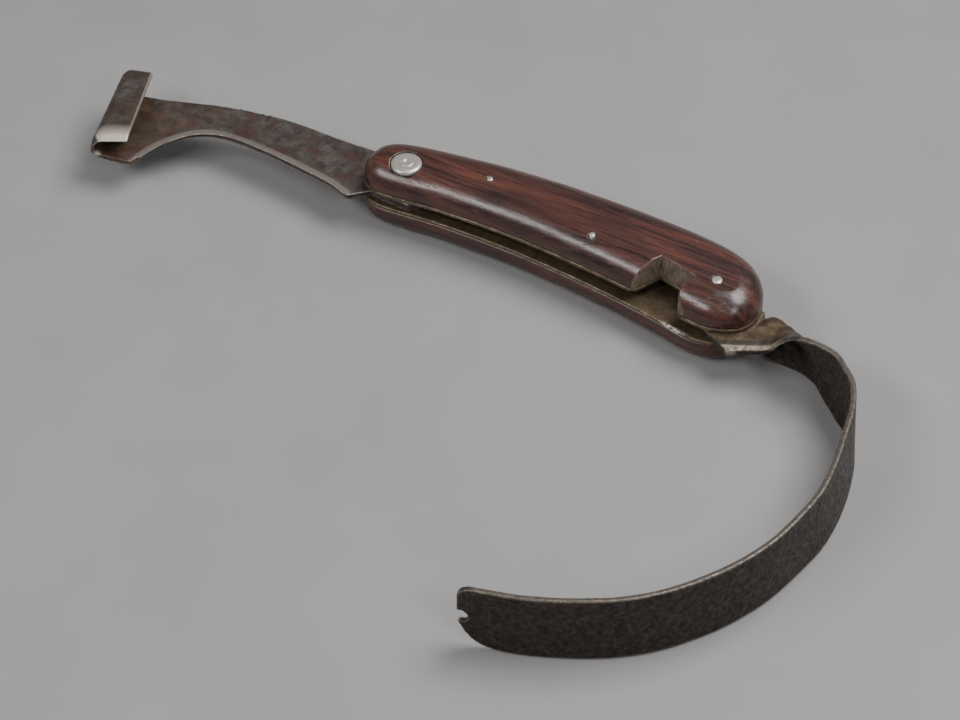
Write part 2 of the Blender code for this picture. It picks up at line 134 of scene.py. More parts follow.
# The guard, from its pivot.
GUARD_TANG = [(12.4, 4.0), (12.9, -11.8), (10.1, -13.7), (3.4, -10.4)]
GUARD_TANG_ROUND = 8.0
TANG_THICK = 2.4
STRIP_THICK = 1.6
STRIP_WIDTH = 19.9
STRIP_FOOT = 0.2
TWIST_RIM = [(11.4, -12.7, 10.2), (14.4, -10.7, 10.2), (17.0, -9.3, 10.3), (18.9, -8.2, 10.9)]
TWIST_RIM += [(20.4, -7.5, 12.6), (22.0, -7.5, 15.0), (23.9, -7.8, 17.2), (26.2, -8.1, 18.9)]
TWIST_RIM += [(29.4, -8.2, 19.9), (33.6, -8.4, 20.1), (37.8, -9.4, 20.1)]
TWIST_KNEE = [(11.5, -3.9, 10.2), (14.4, 2.6, 10.1), (16.4, 3.8, 9.6), (18.3, 3.1, 9.5)]
TWIST_KNEE += [(20.1, 2.5, 9.7), (22.0, 1.3, 9.8), (24.2, 0.2, 10.1), (26.8, -2.0, 10.3)]
TWIST_KNEE += [(30.2, -4.2, 10.3), (34.2, -6.5, 10.1), (38.1, -9.2, 10.1)]
TWIST_FOOT = [(11.6, 4.0, 10.2), (13.6, 2.2, 5.4), (14.3, -0.4, 1.6), (16.6, -1.4, 0.9)]
TWIST_FOOT += [(19.5, -1.3, 0.8), (22.4, -1.1, 0.7), (25.4, -1.0, 0.6), (28.6, -1.6, 0.5)]
TWIST_FOOT += [(31.6, -3.0, 0.4), (35.0, -6.3, 0.3), (38.6, -9.4, 0.2)]
TWIST_FOLD = 0.84
BOW = [(41.0, -12.0, 0.3), (45.4, -16.4, 0.8), (48.7, -23.9, 1.5), (50.9, -33.0, 2.2)]
BOW += [(52.9, -42.5, 2.0), (54.0, -52.5, 1.4), (53.3, -61.5, 0.8), (51.3, -72.3, 0.5)]
BOW += [(47.6, -82.3, 0.4), (42.6, -91.2, 0.4), (36.4, -99.5, 0.4), (29.2, -106.3, 0.3)]
BOW += [(20.4, -112.0, 0.2), (10.8, -116.8, 0.0), (1.1, -120.1, 0.0), (-6.4, -121.9, 0.0)]
BOW += [(-13.0, -123.4, 0.0)]
STRIP_STEPS = 7
SECTION_STEPS = 16
TIP = Vector((-6.2, -121.5, 0.0))
TIP_INWARD = Vector((0.972, 0.235, 0.0)).normalized()
TIP_SLOT_RADIUS = 1.9
TIP_SLOT_DEPTH = 0.9

# Where the wear, the rust and the guard's band of painted shade lie: on the blade in the model's frame, on
# the guard from its pivot.
NECK_RUST_X = -116.5
NECK_RUST_REACH = 9.0
CUTTER_WEAR_FROM_X = -118.0
PLATE_RUST_CENTRE = (9.0, 16.0)
PLATE_RUST_RADIUS = 14.0
LINER_WORN_AT = (39.6, -9.9)
LINER_WORN_REACH = (3.2, 1.5)
RIM_WORN_FROM = 19.6
TANG_WEAR_FROM = 9.4
LIP_WORN_FROM = 11.1
TANG_SIDE_NORMAL = (0.44, -0.9)
TANG_SIDE_DISTANCE = 14.6
TANG_CORNER = (10.6, -12.6)


# Outlines and solids.


def smooth_path(points, steps, closed):
    """Points along a Catmull-Rom curve through the given points, in two or three dimensions."""
    knots = [Vector(point) for point in points]
    count = len(knots)
    path = []
    for index in range(count if closed else count - 1):
        if closed:
            a, b, c, d = (knots[(index + offset) % count] for offset in (-1, 0, 1, 2))
        else:
            b, c = knots[index], knots[index + 1]
            a = knots[index - 1] if index else b + (b - c)
            d = knots[index + 2] if index + 2 < count else c + (c - b)
        for step in range(steps):
            t = step / steps
            square = 2 * a - 5 * b + 4 * c - d
            cube = 3 * b - a - 3 * c + d
            path.append(0.5 * (2 * b + (c - a) * t + square * t**2 + cube * t**3))
    if not closed:
        path.append(knots[-1])
    return path


def arc(radius, from_deg, to_deg, sides, centre=(0.0, 0.0)):
    """Points on an arc, both ends included."""
    step = math.radians(to_deg - from_deg) / sides
    turns = [math.radians(from_deg) + step * side for side in range(sides + 1)]
    return [Vector(centre) + radius * Vector((math.cos(turn), math.sin(turn))) for turn in turns]


def circle(radius, centre=(0.0, 0.0), sides=64):
    return arc(radius, 0, 360 - 360 / sides, sides - 1, centre)


def at_height(outline, z):
    return [Vector((point.x, point.y, z)) for point in outline]


def inset(outline, distance):
    """The outline moved inward along its own normals. The distance is one number, or one per point."""
    moved = []
    for index, point in enumerate(outline):
        along = (outline[(index + 1) % len(outline)] - outline[index - 1]).normalized()
        depth = distance[index] if isinstance(distance, list) else distance
        moved.append(point + Vector((-along.y, along.x)) * depth)
    return moved


def link(name, mesh):
    obj = bpy.data.objects.new(name, mesh)
    bpy.context.scene.collection.objects.link(obj)
    return obj


def loft(name, rings):
    """A closed body through rings of equal length, with a flat face over each end."""
    bm = bmesh.new()
    rows = [[bm.verts.new(point * MM) for point in ring] for ring in rings]
    for low, high in zip(rows, rows[1:]):
        for side in range(len(low)):
            after = (side + 1) % len(low)
            bm.faces.new((low[side], low[after], high[after], high[side]))
    bm.faces.new(reversed(rows[0]))
    bm.faces.new(rows[-1])
    bmesh.ops.recalc_face_normals(bm, faces=bm.faces)
    mesh = bpy.data.meshes.new(name)
    bm.to_mesh(mesh)
    bm.free()
    return link(name, mesh)


def moved(rings, place):
    offset = Vector((place.x, place.y, 0.0))
    return [[point + offset for point in ring] for ring in rings]


def prism(name, outline, low, high):
    return loft(name, [at_height(outline, low), at_height(outline, high)])


def eased_plate(outline, low, high, ease):
    """Rings of a flat plate with eased edges, and a narrow border on each face for the wear."""
    border = ease + 0.5
    levels = ((border, low), (ease, low), (0.0, low + ease))
    levels += ((0.0, high - ease), (ease, high), (border, high))
    return [at_height(inset(outline, depth), z) for depth, z in levels]


def turned(name, profile, centre, sides=72):
    """A round body from (radius, height) pairs, bottom to top."""
    rings = [at_height(circle(radius, sides=sides), z) for radius, z in profile]
    return loft(name, moved(rings, centre))


def apply_modifiers(obj):
    graph = bpy.context.evaluated_depsgraph_get()
    mesh = bpy.data.meshes.new_from_object(obj.evaluated_get(graph))
    obj.modifiers.clear()
    obj.data = mesh


def combine(obj, other, operation):
    """Cuts another body out of this one, or joins it on, and removes it."""
    modifier = obj.modifiers.new(operation.lower(), "BOOLEAN")
    modifier.operation = operation
    modifier.solver = "MANIFOLD"
    modifier.object = other
    apply_modifiers(obj)
    bpy.data.objects.remove(other)


def bore(obj, radius, centre):
    combine(obj, prism("bore", circle(radius, centre), -5.0, SCALE_TOP + 5.0), "DIFFERENCE")


def worn_solid(obj, voxel, rounds):
    """Rebuilds the body as an even fine mesh and rubs its sharp edges round."""
    remesh = obj.modifiers.new("remesh", "REMESH")
    remesh.mode = "VOXEL"
    remesh.voxel_size = voxel * MM
    rub = obj.modifiers.new("rub", "SMOOTH")
    rub.factor = 0.5
    rub.iterations = rounds
    apply_modifiers(obj)


# What the meshes carry for the materials.


def vertex_arrays(mesh):
    count = len(mesh.vertices)
    points = np.empty(count * 3, np.float32)
    normals = np.empty(count * 3, np.float32)
    mesh.vertices.foreach_get("co", points)
    mesh.vertex_normals.foreach_get("vector", normals)
    return points.reshape(-1, 3).astype(float) / MM, normals.reshape(-1, 3).astype(float)


def edge_pairs(mesh):
    pairs = np.empty(len(mesh.edges) * 2, np.int32)
    mesh.edges.foreach_get("vertices", pairs)
    return pairs.reshape(-1, 2)


def spread(values, pairs, rounds):
    """Each vertex takes the mean of itself and its neighbours, some number of times."""
    count = len(values)
    near = 1.0 + np.bincount(pairs.ravel(), minlength=count)
    for _ in range(rounds):
        total = values + np.bincount(pairs[:, 0], values[pairs[:, 1]], count)
        total += np.bincount(pairs[:, 1], values[pairs[:, 0]], count)
        values = total / near
    return values


def carry(mesh, name, values):
    layer = mesh.attributes.new(name, "FLOAT", "POINT")
    layer.data.foreach_set("value", np.clip(values, 0.0, 1.0).astype(np.float32))


def mark_edges(obj, reach=0.45, rounds=2):
    """Carries how far each vertex sits on a rounded outer edge, as edge, or in a corner, as hollow."""
    mesh = obj.data
    points, normals = vertex_arrays(mesh)
    pairs = edge_pairs(mesh)
    step = points[pairs[:, 1]] - points[pairs[:, 0]]
    length = np.maximum((step**2).sum(1), 1e-6)
    count = len(points)
    bend = np.bincount(pairs[:, 0], -(normals[pairs[:, 0]] * step).sum(1) / length, count)
    bend += np.bincount(pairs[:, 1], (normals[pairs[:, 1]] * step).sum(1) / length, count)
    bend /= np.maximum(np.bincount(pairs.ravel(), minlength=count), 1)
    bend = spread(bend, pairs, rounds) * reach
    carry(mesh, "edge", bend * 1.6 - 0.12)
    carry(mesh, "hollow", -bend * 1.6 - 0.12)


def roughen(obj, layers):
    """Moves the surface along its normals by smooth noise. Each layer is (size, depth, seed)."""
    mesh = obj.data
    points, normals = vertex_arrays(mesh)
    depth = np.zeros(len(points))
    for size, height, seed in layers:
        shift = Vector((seed, seed * 0.7, -seed))
        depth += [height * noise.noise(Vector(point) / size + shift) for point in points]
    points += normals * depth[:, None]
    mesh.vertices.foreach_set("co", (points * MM).astype(np.float32).ravel())
    mesh.update()


def finish_piece(obj, material, body, nodes, smooth_angle=40.0):
    mesh = obj.data
    mesh.materials.clear()
    mesh.materials.append(material)
    mesh.shade_smooth()
    mesh.set_sharp_from_angle(angle=math.radians(smooth_angle))
    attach(obj, body)
    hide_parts(*nodes)
    return obj


# Materials.


class Shading:
    """Builds the nodes of one material round its Principled shader."""

    def __init__(self, name, metallic, specular):
        self.material = bpy.data.materials.new(name)
        self.material.use_nodes = True
        self.tree = self.material.node_tree
        self.shader = self.tree.nodes["Principled BSDF"]
        self.shader.inputs["Metallic"].default_value = metallic
        self.shader.inputs["Specular IOR Level"].default_value = specular
        self.place = self.tree.nodes.new("ShaderNodeTexCoord").outputs["Object"]

    def put(self, socket, value):
        if isinstance(value, bpy.types.NodeSocket):
            self.tree.links.new(value, socket)
        elif isinstance(value, tuple) and len(value) == 3 and socket.type == "RGBA":
            socket.default_value = (*value, 1.0)
        else:
            socket.default_value = value

    def noise(self, size, stretch=(1.0, 1.0, 1.0), detail=3.0, roughness=0.55, bend=0.0):
        """Noise whose features are about size millimetres across, drawn out along an axis by stretch."""
        mapping = self.tree.nodes.new("ShaderNodeMapping")
        self.put(mapping.inputs["Vector"], self.place)
        mapping.inputs["Scale"].default_value = [1.0 / (size * MM * pull) for pull in stretch]
        texture = self.tree.nodes.new("ShaderNodeTexNoise")
        self.put(texture.inputs["Vector"], mapping.outputs["Vector"])
        texture.inputs["Scale"].default_value = 1.0
        texture.inputs["Detail"].default_value = detail
        texture.inputs["Roughness"].default_value = roughness
        texture.inputs["Distortion"].default_value = bend
        return texture.outputs["Fac"]

    def carried(self, name):
        attribute = self.tree.nodes.new("ShaderNodeAttribute")
        attribute.attribute_name = name
        return attribute.outputs["Fac"]

    def ramp(self, value, stops):
        """A colour ramp through (position, colour) stops."""
        node = self.tree.nodes.new("ShaderNodeValToRGB")
        band = node.color_ramp
        while len(band.elements) < len(stops):
            band.elements.new(0.5)
        for element, (position, colour) in zip(band.elements, stops):
            element.position = position
            element.color = (*colour, 1.0)
        self.put(node.inputs["Fac"], value)
        return node.outputs["Color"]

    def span(self, value, low, high, to_low=0.0, to_high=1.0):
        """The value's stretch from low to high, moved to another range and held inside it."""
        node = self.tree.nodes.new("ShaderNodeMapRange")
        node.interpolation_type = "SMOOTHSTEP"
        for name, number in zip(("From Min", "From Max", "To Min", "To Max"), (low, high, to_low, to_high)):
            node.inputs[name].default_value = number
        self.put(node.inputs["Value"], value)
        return node.outputs["Result"]

    def math(self, operation, first, second):
        node = self.tree.nodes.new("ShaderNodeMath")
        node.operation = operation
        self.put(node.inputs[0], first)
        self.put(node.inputs[1], second)
        return node.outputs[0]

    def mix(self, share, first, second, blend="MIX"):
        node = self.tree.nodes.new("ShaderNodeMix")
        node.data_type = "RGBA"
        node.blend_type = blend
        self.put(node.inputs["Factor"], share)
        self.put(node.inputs[6], first)
        self.put(node.inputs[7], second)
        return node.outputs[2]

    def bump(self, height, depth, before=None):
        node = self.tree.nodes.new("ShaderNodeBump")
        node.inputs["Strength"].default_value = 1.0
        node.inputs["Distance"].default_value = depth * MM
        self.put(node.inputs["Height"], height)
        if before:
            self.put(node.inputs["Normal"], before)
        return node.outputs["Normal"]

    def surface(self, colour, roughness, normal):
        self.put(self.shader.inputs["Base Color"], colour)
        self.put(self.shader.inputs["Roughness"], roughness)
        self.put(self.shader.inputs["Normal"], normal)
        return self.material


def rosewood():
    """Oiled rosewood: long dark figure, fine pores, edges rubbed pale, grime round the pins, and concave
    corners darkened as painted shade.
    """
    s = Shading("rosewood_oiled", 0.0, 0.55)
    figure = s.noise(4.2, (11.0, 1.0, 1.6), 3.0, 0.55, 0.35)
    streak = s.noise(0.85, (20.0, 1.0, 1.2), 4.0, 0.62, 0.15)
    pore = s.noise(0.24, (17.0, 1.0, 1.0), 2.0, 0.5)
    fleck = s.noise(9.0, (2.5, 1.0, 1.0), 3.0, 0.6)
    grain = s.math("ADD", s.math("MULTIPLY", figure, 0.55), s.math("MULTIPLY", streak, 0.45))
    wood = s.ramp(grain, (
        (0.34, (0.009, 0.004, 0.004)),
        (0.44, (0.026, 0.009, 0.007)),
        (0.52, (0.054, 0.017, 0.012)),
        (0.62, (0.096, 0.031, 0.018)),
        (0.74, (0.145, 0.052, 0.029)),
    ))
    wood = s.mix(s.span(fleck, 0.45, 0.72, 0.0, 0.35), wood, (0.034, 0.013, 0.013))
    pores = s.span(pore, 0.60, 0.72)
    wood = s.mix(s.math("MULTIPLY", pores, 0.55), wood, (0.018, 0.007, 0.006))
    rubbed = s.math("MULTIPLY", s.carried("edge"), s.span(s.noise(1.6), 0.35, 0.65, 0.25, 0.9))
    wood = s.mix(s.math("MULTIPLY", rubbed, 0.4), wood, (0.30, 0.16, 0.11))
    end_grain = s.ramp(s.noise(0.5, (1.0, 1.0, 5.0), 4.0, 0.65), (
        (0.30, (0.045, 0.030, 0.022)),
        (0.50, (0.150, 0.115, 0.085)),
        (0.72, (0.270, 0.215, 0.160)),
    ))
    wood = s.mix(s.math("MULTIPLY", s.carried("cut"), 0.85), wood, end_grain)
    # Grime round the pins, and painted shade darkening the concave corners.
    dirt_and_shade = s.math("MAXIMUM", s.carried("grime"), s.math("MULTIPLY", s.carried("hollow"), 0.7))
    wood = s.mix(s.math("MULTIPLY", dirt_and_shade, 0.85), wood, (0.012, 0.007, 0.006))
    gloss = s.math("ADD", s.span(streak, 0.3, 0.7, 0.24, 0.36), s.math("MULTIPLY", s.carried("cut"), 0.3))
    gloss = s.math("ADD", gloss, s.math("MULTIPLY", pores, 0.15))
    shape = s.bump(streak, 0.035, s.bump(pores, -0.03))
    s.shader.inputs["Coat Weight"].default_value = 0.25
    s.shader.inputs["Coat Roughness"].default_value = 0.3
    return s.surface(wood, gloss, shape)


def aged_metal(name, tones, bright, dirt_and_shade, metallic, size=2.2, gloss=(0.34, 0.6), pits=0.05):
    """Old metal: mottled patina, fine scratches and dark pits, edges rubbed bright, concave corners darkened
    as painted shade.
    """
    s = Shading(name, metallic, 0.5)
    cloud = s.noise(size, detail=5.0, roughness=0.62, bend=0.4)
    speck = s.noise(size * 0.16, detail=3.0, roughness=0.6)
    blend = s.math("ADD", s.math("MULTIPLY", cloud, 0.72), s.math("MULTIPLY", speck, 0.28))
    colour = s.ramp(blend, tones)
    scratch = s.span(s.noise(0.16, (26.0, 1.0, 1.0), 2.0, 0.5), 0.62, 0.76)
    colour = s.mix(s.math("MULTIPLY", scratch, 0.22), colour, bright)
    rubbed = s.math("MULTIPLY", s.carried("edge"), s.span(s.noise(1.1, detail=4.0), 0.36, 0.60, 0.25, 1.0))
    colour = s.mix(rubbed, colour, bright)
    # Painted shade: concave corners are darkened.
    colour = s.mix(s.math("MULTIPLY", s.carried("hollow"), 0.8), colour, dirt_and_shade)
    pit = s.span(s.noise(0.5, detail=3.0, roughness=0.65), 0.58, 0.70)
    colour = s.mix(s.math("MULTIPLY", pit, 0.5), colour, dirt_and_shade)
    rough = s.span(blend, 0.35, 0.65, gloss[1], gloss[0])
    rough = s.math("SUBTRACT", rough, s.math("MULTIPLY", rubbed, 0.12))
    shape = s.bump(cloud, 0.02, s.bump(pit, -pits, s.bump(scratch, -0.008)))
    s.surface(colour, rough, shape)
    return s


def blade_steel():
    """Brown-grey blade steel, rusty where the hand never cleans it, honed bright at the cutter, with a
    painted glint on the near end of the channel's lower wall.
    """
    tones = (
        (0.36, (0.036, 0.027, 0.023)),
        (0.46, (0.064, 0.051, 0.045)),
        (0.55, (0.094, 0.080, 0.073)),
        (0.66, (0.140, 0.124, 0.114)),
    )
    bright = (0.36, 0.32, 0.29)
    dirt_and_shade = (0.030, 0.020, 0.015)
    s = aged_metal("blade_steel_aged", tones, bright, dirt_and_shade, 0.55, 3.4, (0.40, 0.58), 0.03)
    colour = s.shader.inputs["Base Color"].links[0].from_socket
    tint = s.span(s.noise(6.0, detail=3.0), 0.50, 0.66, 0.0, 0.6)
    colour = s.mix(tint, colour, (0.080, 0.036, 0.030))
    patch = s.span(s.noise(2.6, detail=4.0, roughness=0.55), 0.44, 0.60, 0.35, 1.0)
    rust_colour = s.ramp(s.noise(4.5, detail=2.5), (
        (0.36, (0.054, 0.030, 0.018)),
        (0.50, (0.092, 0.053, 0.030)),
        (0.66, (0.140, 0.086, 0.050)),
    ))
    colour = s.mix(s.math("MULTIPLY", s.carried("rust"), patch), colour, rust_colour)
    colour = s.mix(s.carried("facet"), colour, (0.30, 0.26, 0.235))
    # Honed bright metal at the cutter, and a painted glint on the near end of the channel's lower wall.
    colour = s.mix(s.carried("honed_and_glint"), colour, (0.56, 0.51, 0.44))
    s.put(s.shader.inputs["Base Color"], colour)
    return s.material


def guard_steel():
    """Dark pitted steel of the guard, brown on its tang with a band of painted shade, and worn light along
    its rim.
    """
    tones = (
        (0.36, (0.012, 0.010, 0.009)),
        (0.46, (0.027, 0.021, 0.018)),
        (0.55, (0.048, 0.037, 0.030)),
        (0.66, (0.084, 0.066, 0.053)),
    )
    bright = (0.34, 0.29, 0.24)
    dirt_and_shade = (0.010, 0.008, 0.007)
    s = aged_metal("guard_steel_pitted", tones, bright, dirt_and_shade, 0.55, 1.3, (0.36, 0.58), 0.08)
    colour = s.shader.inputs["Base Color"].links[0].from_socket
    warm = s.ramp(s.noise(3.2, (1.0, 1.0, 1.0), 4.0, 0.55), (
        (0.34, (0.046, 0.031, 0.018)),
        (0.50, (0.088, 0.061, 0.036)),
        (0.66, (0.150, 0.108, 0.066)),
    ))
    colour = s.mix(s.carried("tang"), colour, warm)
    # Painted shade: a dark blue-grey band along the tang's top, just inside its near edge.
    colour = s.mix(s.carried("painted_shade_band"), colour, (0.022, 0.024, 0.032))
    patch = s.span(s.noise(1.2, detail=4.0, roughness=0.6), 0.36, 0.52, 0.3, 1.0)
    bare = s.math("MULTIPLY", s.carried("rubbed"), patch)
    colour = s.mix(bare, colour, (0.56, 0.50, 0.42))
    s.put(s.shader.inputs["Base Color"], colour)
    return s.material


def liner_metal():
    tones = (
        (0.34, (0.040, 0.028, 0.016)),
        (0.46, (0.072, 0.050, 0.028)),
        (0.56, (0.102, 0.073, 0.042)),
        (0.68, (0.145, 0.108, 0.066)),
    )
    bright = (0.40, 0.34, 0.26)
    dirt_and_shade = (0.022, 0.015, 0.009)
    s = aged_metal("liner_metal_aged", tones, bright, dirt_and_shade, 0.55, 4.0, (0.42, 0.6), 0.03)
    colour = s.shader.inputs["Base Color"].links[0].from_socket
    worn = s.math("MULTIPLY", s.carried("worn"), s.span(s.noise(0.9, detail=5.0, roughness=0.7), 0.40, 0.52))
    s.put(s.shader.inputs["Base Color"], s.mix(worn, colour, (0.80, 0.76, 0.68)))
    return s.material


def spring_steel():
    tones = (
        (0.36, (0.030, 0.022, 0.016)),
        (0.50, (0.090, 0.066, 0.048)),
        (0.66, (0.170, 0.130, 0.100)),
    )
    return aged_metal("spring_steel_aged", tones, (0.45, 0.38, 0.31), (0.020, 0.014, 0.010), 0.6).material


def nickel():
    tones = (
        (0.34, (0.420, 0.385, 0.345)),
        (0.50, (0.600, 0.565, 0.520)),
        (0.66, (0.740, 0.705, 0.660)),
    )
    bright = (0.86, 0.83, 0.78)
    dirt_and_shade = (0.090, 0.068, 0.050)
    return aged_metal("nickel_worn", tones, bright, dirt_and_shade, 0.75, 1.6, (0.24, 0.42), 0.02).material


# The handle.


def handle_outline(belly, steps=8):
    """The handle's outline, counter-clockwise."""
    return smooth_path(list(reversed(END_LEFT + SPINE + END_RIGHT + belly)), steps, closed=True)


def notched_outline():
    """The upper half's outline with the notch cut into its belly."""
    outline = handle_outline(BELLY_UPPER)
    from_x, to_x = NOTCH_MOUTH
    wall = smooth_path([NOTCH[0], NOTCH[1]], 6, False) + smooth_path([NOTCH[1], NOTCH[2]], 6, False)[1:]
    wall += smooth_path(NOTCH[2:], 5, False)[1:]
    kept = [point for point in outline if not (point.y < 0 and from_x < point.x < to_x)]
    after = kept[1:] + kept[:1]
    gaps = [p.y < 0 and p.x <= from_x and q.x >= to_x for p, q in zip(kept, after)]
    split = gaps.index(True)
    return kept[: split + 1] + wall + kept[split + 1 :]


def domed_scale(name, outline, inner_z, outer_z, shoulder):
    """A wooden scale: a short upright edge and a rounded shoulder, then a soft crease to a flat crown."""
    rise = outer_z - inner_z
    side = 1 if rise > 0 else -1
    edge = 1.6 * side
    crease = math.radians(74)
    steps = 14
    across = shoulder / (1 - math.cos(crease))
    up = (rise - edge) / math.sin(crease)
    rings = [at_height(inset(outline, 0.25), inner_z), at_height(outline, inner_z + 0.25 * side)]
    rings.append(at_height(outline, inner_z + edge))
    for step in range(1, steps + 1):
        turn = crease * step / steps
        ring = inset(outline, across * (1 - math.cos(turn)))
        rings.append(at_height(ring, inner_z + edge + up * math.sin(turn)))
    return loft(name, rings)


def near_outline(points, outline, reach):
    """How near each point is to an outline, from 1 on it to 0 at the reach."""
    best = np.full(len(points), 1e9)
    for start, end in zip(outline, outline[1:]):
        a = np.array(start)
        along = np.array(end) - a
        share = np.clip(((points[:, :2] - a) @ along) / (along @ along), 0.0, 1.0)
        best = np.minimum(best, np.linalg.norm(points[:, :2] - a - share[:, None] * along, axis=1))
    return np.clip(1 - best / reach, 0.0, 1.0)


def mark_scale(obj, notch):
    """Grime round the pins, and the raw wood of the notch's walls."""
    points, normals = vertex_arrays(obj.data)
    grime = np.zeros(len(points))
    for centre, radius in PIN_SEATS:
        gap = np.linalg.norm(points[:, :2] - np.array(centre), axis=1) - radius
        grime = np.maximum(grime, np.clip(1 - gap / 0.55, 0.0, 1.0))
    carry(obj.data, "grime", grime)
    cut = np.zeros(len(points))
    if notch:
        wall = [Vector((24.6, -9.2))] + [Vector(point) for point in NOTCH] + [Vector((42.0, -10.6))]
        upright = np.clip(1.3 - np.abs(normals[:, 2]) * 2.2, 0.0, 1.0)
        cut = np.clip(near_outline(points, wall, 0.5) * 2.5, 0.0, 1.0) * upright
    carry(obj.data, "cut", cut)


def make_scale(name, node, belly, inner_z, outer_z, shoulder, material, notch):
    obj = domed_scale(name, handle_outline(belly), inner_z, outer_z, shoulder)
    seat = 1.45 if outer_z > inner_z else -1.45
    for centre, radius in PIN_SEATS[1:]:
        bore(obj, radius + 0.1, centre)
    bore(obj, PIVOT_PIN_RADIUS + 0.15, BLADE_PIVOT)
    floor_z, far_z = sorted((outer_z - seat, outer_z + 3 * seat))
    combine(obj, prism("seat", circle(WASHER_RADIUS + 0.12, BLADE_PIVOT), floor_z, far_z), "DIFFERENCE")
    if notch:
        outline = [Vector(point) for point in [(24.0, -13.0)] + NOTCH + [(46.0, -13.0)]]
        combine(obj, prism("notch", list(reversed(outline)), inner_z - 2.0, outer_z + 2.0), "DIFFERENCE")
    worn_solid(obj, 0.3, 3)
    roughen(obj, ((9.0, 0.07, 3.1), (2.6, 0.022, 7.7)))
    mark_edges(obj, 0.8, 3)
    mark_scale(obj, notch)
    return finish_piece(obj, material, "handle", [node], 60.0)


def make_handle():
    wood = rosewood()
    liner = liner_metal()
    inner = node_levels("upper_scale")[0]
    make_scale("rosewood_upper", "upper_scale", BELLY_UPPER, inner, SCALE_TOP, 6.2, wood, True)
    inner = node_levels("lower_scale")[1]
    make_scale("rosewood_lower", "lower_scale", BELLY_LOWER, inner, 0.0, 4.6, wood, False)
    worn_at = np.array(LINER_WORN_AT)
    for node, outline in (("upper_liner", notched_outline()), ("lower_liner", handle_outline(BELLY_LOWER))):
        low, high = node_levels(node)
        obj = loft(node + "_plate", eased_plate(outline, low, high, 0.14))
        for centre, radius in ((BLADE_PIVOT, PIVOT_PIN_RADIUS), *PIN_SEATS[1:]):
            bore(obj, radius + 0.05, centre)
        mark_edges(obj, 0.35, 1)
        points, _ = vertex_arrays(obj.data)
        away = np.linalg.norm((points[:, :2] - worn_at) / np.array(LINER_WORN_REACH), axis=1)
        carry(obj.data, "worn", np.clip(1.4 - away, 0.0, 1.0) * (points[:, 2] < MID_Z))
        finish_piece(obj, liner, "handle", [node], 30.0)


def make_spring():
    outline = smooth_path(SPRING_BELLY, 7, False) + smooth_path(SPRING_SPINE, 7, False)
    low, high = node_levels("back_spring")
    obj = loft("back_spring_bar", eased_plate(outline, low, high, 0.2))
    for centre, radius in PIN_SEATS[2:]:
        bore(obj, radius + 0.05, centre)
    mark_edges(obj, 0.35, 1)
    finish_piece(obj, spring_steel(), "handle", ["back_spring"], 30.0)


# The pins and washers.


def make_pins():
    metal = nickel()
    foot = PIN_FOOT + 0.15
    head = PIN_HEAD_TOP
    r = PIVOT_PIN_RADIUS
    profile = [(r - 0.6, foot), (r - 0.15, foot + 0.12), (r, foot + 0.4)]
    profile += [(r, head - 0.16), (r - 0.06, head - 0.08), (r - 0.25, head - 0.03)]
    profile += [(r * 0.50, head - 0.05), (r * 0.34, head - 0.22), (r * 0.15, head - 0.34)]
    pin = turned("blade_rivet", profile, BLADE_PIVOT)
    top = PIN_TOP
    w = WASHER_RADIUS
    rim = [(w - 0.2, SCALE_TOP - 1.4), (w, SCALE_TOP - 1.2), (w, SCALE_TOP - 0.45)]
    rim.append((w - 0.1, SCALE_TOP - 0.22))
    crown = [(w - 0.3, SCALE_TOP - 0.08), (w - 0.7, top - 0.08), (w - 1.2, top - 0.01), (r + 0.4, top - 0.02)]
    crown += [(r + 0.1, top - 0.04)]
    upper = turned("upper_washer", rim + crown, BLADE_PIVOT)
    mirrored = [(radius, PIN_FOOT + top - z) for radius, z in reversed(rim + crown)]
    lower = turned("lower_washer", mirrored, BLADE_PIVOT)
    for washer in (upper, lower):
        bore(washer, r + 0.05, BLADE_PIVOT)
    pieces = [(pin, "blade_pivot_pin"), (upper, "upper_pivot_washer"), (lower, "lower_pivot_washer")]
    for node, radius, centre in (
        ("front_spring_pin", SPRING_PIN_RADIUS, FRONT_PIN),
        ("rear_spring_pin", SPRING_PIN_RADIUS, REAR_PIN),
        ("guard_pivot_pin", GUARD_PIN_RADIUS, GUARD_PIVOT),
    ):
        low, high = node_levels(node)
        profile = [(radius * 0.75, low), (radius, low + 0.15)]
        profile += [(radius, high - 0.3), (radius * 0.93, high - 0.16)]
        profile += [(radius * 0.75, high - 0.06), (radius * 0.4, high - 0.01), (radius * 0.1, high)]
        pieces.append((turned(node + "_rivet", profile, centre, 48), node))
    for obj, node in pieces:
        mark_edges(obj, 0.3, 1)
        finish_piece(obj, metal, "handle", [node], 50.0)


# The blade.


